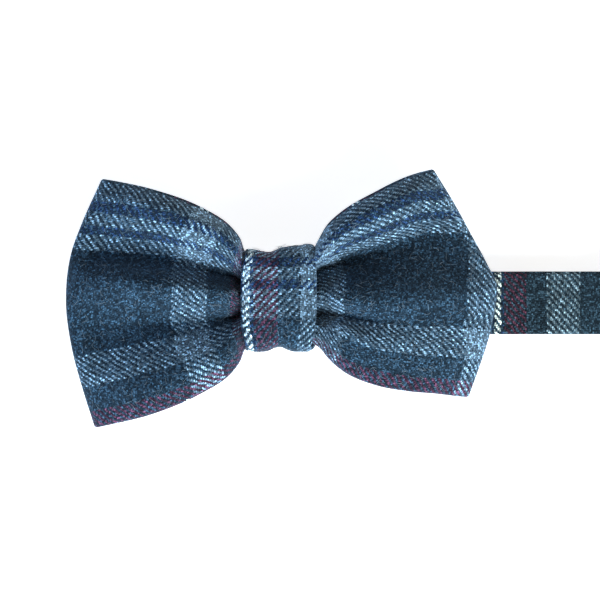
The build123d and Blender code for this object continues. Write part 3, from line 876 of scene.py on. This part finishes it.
MID_LOW = BAND_THICK / 2
MID_RUN = (RUN_LOW[2] + RUN_HIGH[2]) / 2
MID_RETURN = (RETURN_LOW[2] + RETURN_HIGH[2]) / 2
LEFT_FOLD_RADIUS = (MID_RUN - MID_LOW) / 2
LEFT_FOLD_X = BAND_LOW[0] + LEFT_FOLD_RADIUS + BAND_THICK / 2
HOOK_TAIL = 2.2  # how far the sewn tail goes on past its bar tack
WRAP_THICK = 0.8


def lower_path():
    """From the hook's sewn tail round its bar, and along the table to the fold behind the bow."""
    hook_radius = HOOK_AXIS[2] - MID_LOW
    return (
        straight(HOOK_TACK_LOW[0] - HOOK_TAIL, HOOK_AXIS[0], HOOK_AXIS[2] + hook_radius)
        + turn(HOOK_AXIS[0], HOOK_AXIS[2], hook_radius, 90, -90)
        + straight(HOOK_AXIS[0], LEFT_FOLD_X, MID_LOW)
        + turn(LEFT_FOLD_X, (MID_RUN + MID_LOW) / 2, LEFT_FOLD_RADIUS, -90, -270)
        + [(LEFT_FOLD_X, MID_RUN), (LEFT_FOLD_X + 1, MID_RUN)]
    )


def upper_path():
    """From the fold, through the slider and round the eye."""
    return (
        straight(LEFT_FOLD_X + 1, EYE_X, MID_RUN)
        + turn(EYE_X, (MID_RUN + MID_RETURN) / 2, (MID_RUN - MID_RETURN) / 2, 90, -90)
        + [(EYE_X, MID_RETURN), (EYE_X - 1, MID_RETURN)]
    )


def wrap_path(back_x, wrap_mid):
    """From the return strip's end up round the slider's middle bar, and back under itself."""
    path = [
        (back_x, MID_RETURN), (back_x - 0.1, MID_RETURN + 0.8), (back_x, wrap_mid - 0.4),
        (back_x + 0.5, wrap_mid),
    ]
    path += straight(back_x + 1.0, back_x + 3.6, wrap_mid, 0.5)
    path += [
        (back_x + 4.2, wrap_mid - 0.5), (back_x + 4.9, MID_RETURN + 1.35),
        (back_x + 5.6, MID_RETURN + 1.15),
    ]
    path += straight(back_x + 6.4, back_x + 12.8, MID_RETURN + 1.15, 0.8)
    return smooth_line(path, 40)


def make_neckband(material):
    """The lower part with the hook's turn, the upper run with the eye's turn, the return strip, and
    the band's end round the slider's bar."""
    half = BAND_HALF
    thick = BAND_THICK
    upper_start = BAND_WHITE + BAND_DRAWN_IN * (LEFT_FOLD_X + 1 - BAND_WHITE)
    back_x = STRIP_LOW[0] + WRAP_THICK / 2
    strip_path = straight(EYE_X - 1, back_x + 0.3, MID_RETURN) + [(back_x, MID_RETURN)]
    round_bar = wrap_path(back_x, STRIP_HIGH[2] - WRAP_THICK / 2)
    lower = band_piece("neckband_cloth", lower_path(), half, thick, 200.0, -1, 1.3)
    upper = band_piece("upper_run_cloth", upper_path(), half, thick, upper_start, 1, 4.1)
    strip = band_piece("return_strip_cloth", strip_path, half, thick, 135.0, 1, 6.2)
    wrap = band_piece("slider_wrap_cloth", round_bar, half - 0.05, WRAP_THICK, 170.0, 1, 8.8)
    finish_piece(lower, material, "root")
    finish_piece(upper, material)
    finish_piece(strip, material)
    finish_piece(wrap, material, "slider")
    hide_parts("neckband")
    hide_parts("run_slack", "eye_turn")
    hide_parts("return_strip", "return_slack")
    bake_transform(upper)
    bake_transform(strip)


# --- Stray hairs ----------------------------------------------------------------------------------


HAIR_SEED = 7
HAIR_RADII = np.linspace(0.06, 0.025, 7)  # of a hair from its root to its tip
WING_HAIRS = 520
KNOT_HAIRS = 180


def hair(surface, normal, draw):
    """One short curved wool hair that starts in a surface's face and lies loosely over it."""
    i = draw.randrange(2, surface.shape[0] - 2)
    j = draw.randrange(2, surface.shape[1] - 2)
    here, out = surface[i, j] - 0.15 * normal[i, j], normal[i, j]
    across = surface[i, j + 1] - surface[i, j]
    across = across / np.linalg.norm(across)
    along = np.cross(out, across)
    heading = draw.uniform(0, 2 * math.pi)
    curl = draw.uniform(-1.3, 1.3)
    steps = len(HAIR_RADII) - 1
    step = draw.uniform(0.9, 3.4) / steps
    rise = draw.uniform(0.10, 0.26)
    line = [here]
    for k in range(steps):
        heading += curl / steps + draw.uniform(-0.35, 0.35)
        lift = rise if k < 2 else 0.0
        here = here + step * (across * math.cos(heading) + along * math.sin(heading)) + lift * out
        line.append(here)
    return np.array(line)


def make_hairs(faces_and_counts, material):
    """Stray wool hairs over the cloth's front faces."""
    draw = random.Random(HAIR_SEED)
    lines = []
    for surface, count in faces_and_counts:
        normal = normals_of(surface)
        if normal[..., 2].mean() < 0:
            normal = -normal
        lines += [hair(surface, normal, draw) for _ in range(count)]
    hairs = tubes("stray_wool_hairs", lines, [HAIR_RADII] * len(lines), sides=4)
    return finish_piece(hairs, material, "root")


# --- Stage ----------------------------------------------------------------------------------------


def make_floor():
    """A wide white light table."""
    mesh = bpy.data.meshes.new("floor")
    half = 6.0
    corners = [(-half, -half, 0), (half, -half, 0), (half, half, 0), (-half, half, 0)]
    mesh.from_pydata(corners, [], [[0, 1, 2, 3]])
    floor = bpy.data.objects.new("floor", mesh)
    bpy.context.scene.collection.objects.link(floor)
    g = Graph("light_table")
    tone = g.noise(g.object_mm(), 0.002, detail=2.0)
    g.put(g.shader.inputs["Base Color"], g.mix(tone, (0.90, 0.90, 0.90, 1), (0.92, 0.92, 0.92, 1)))
    g.shader.inputs["Roughness"].default_value = 0.9
    g.shader.inputs["Specular IOR Level"].default_value = 0.1
    g.shader.inputs["Emission Color"].default_value = (1, 1, 1, 1)
    g.shader.inputs["Emission Strength"].default_value = 0.80
    mesh.materials.append(g.material)


def area_light(name, place, size, power, colour):
    """A soft lamp that points at the bow."""
    light = bpy.data.lights.new(name, "AREA")
    light.shape = "RECTANGLE"
    light.size, light.size_y = size
    light.energy = power
    light.color = colour
    lamp = bpy.data.objects.new(name, light)
    lamp.location = place
    lamp.rotation_euler = (Vector((0.01, 0, 0.01)) - Vector(place)).to_track_quat("-Z", "Y").to_euler()
    bpy.context.scene.collection.objects.link(lamp)


def make_world():
    """A dim studio ceiling over pale walls."""
    world = bpy.data.worlds.new("studio")
    world.use_nodes = True
    tree = world.node_tree
    place = tree.nodes.new("ShaderNodeTexCoord")
    split = tree.nodes.new("ShaderNodeSeparateXYZ")
    ramp = tree.nodes.new("ShaderNodeValToRGB")
    tree.links.new(place.outputs["Generated"], split.inputs[0])
    tree.links.new(split.outputs[2], ramp.inputs[0])
    tree.links.new(ramp.outputs[0], tree.nodes["Background"].inputs["Color"])
    ramp.color_ramp.elements[0].position = 0.04
    ramp.color_ramp.elements[0].color = (0.62, 0.66, 0.70, 1)
    ramp.color_ramp.elements[1].position = 0.22
    ramp.color_ramp.elements[1].color = (0.21, 0.19, 0.17, 1)
    bpy.context.scene.world = world


VIEW_MM = 166.2  # what the picture's width covers at the bow's height
VIEW_CENTRE = (6.1, 0.0, 15.0)
CAMERA_DISTANCE = 0.9


def make_stage():
    """The floor, the lamps, the room and a camera straight above the bow."""
    make_floor()
    area_light("key", (0.24, -0.62, 0.48), (1.0, 0.4), 13.0, (0.80, 0.94, 1.06))
    area_light("blue_wall", (-0.62, 0.06, 0.20), (0.5, 0.3), 1.3, (0.30, 0.72, 1.30))
    make_world()
    bpy.context.scene.view_settings.view_transform = "Standard"
    lens = bpy.data.cameras.new("camera")
    lens.sensor_width = 36.0
    lens.lens = 36.0 * CAMERA_DISTANCE / (VIEW_MM * MM)
    lens.clip_start = 0.01
    camera = bpy.data.objects.new("camera", lens)
    camera.location = (VIEW_CENTRE[0] * MM, VIEW_CENTRE[1] * MM, CAMERA_DISTANCE + VIEW_CENTRE[2] * MM)
    bpy.context.scene.collection.objects.link(camera)
    bpy.context.scene.camera = camera


# --- All of it ------------------------------------------------------------------------------------


def make_bow(cloth, felt):
    """Both wings. Gives their front faces, with how many hairs each gets."""
    faces = []
    for name, wing in WINGS.items():
        surface, piece, interlining = make_wing(name, wing)
        finish_piece(piece, cloth, "root")
        finish_piece(interlining, felt, "root")
        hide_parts("bow_cloth")
        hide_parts(f"{name}_wing_interlining")
        faces.append((surface[: ALONG // 2], WING_HAIRS))
    return faces


def make_knot_pieces(cloth, felt, thread):
    """The knot, its lining and the waist thread. Gives the knot's front face, with its hairs."""
    surface, knot, lining = make_knot()
    finish_piece(knot, cloth, "root")
    finish_piece(lining, felt, "root")
    waist_thread = finish_piece(make_waist_thread(), thread, "root")
    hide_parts("knot_wrap")
    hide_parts("knot_lining")
    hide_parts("waist_thread")
    return surface[KNOT_AROUND // 4: 3 * KNOT_AROUND // 4], KNOT_HAIRS


def finish_cad_nodes(metal, thread, felt):
    """The CAD pieces that still show: hardware, stitches and the stiffener."""
    for node, item in frame["nodes"].items():
        material = metal if node in ("slider", "eye", "hook") else thread
        if "lining" in node or "stiffener" in node:
            material = felt
        item.data.materials.clear()
        item.data.materials.append(material)


def main():
    make_stage()
    materials = {
        "bow": tartan("bow_tartan", BOW_WHITE, WEFT_SETT, 0.0, -1),
        "knot": tartan("knot_tartan", KNOT_WHITE, KNOT_WEFT_SETT, KNOT_TOP_ROW, 1),
        "band": tartan("band_tartan", BAND_WHITE, WEFT_SETT, BAND_TOP_ROW, -1, BAND_SHADE_TONE),
    }
    thread, felt = thread_material(), felt_material()
    faces = make_bow(materials["bow"], felt)
    faces.append(make_knot_pieces(materials["knot"], felt, thread))
    make_neckband(materials["band"])
    make_hairs(faces, hair_material())
    finish_cad_nodes(plated_material(), thread, felt)


main()
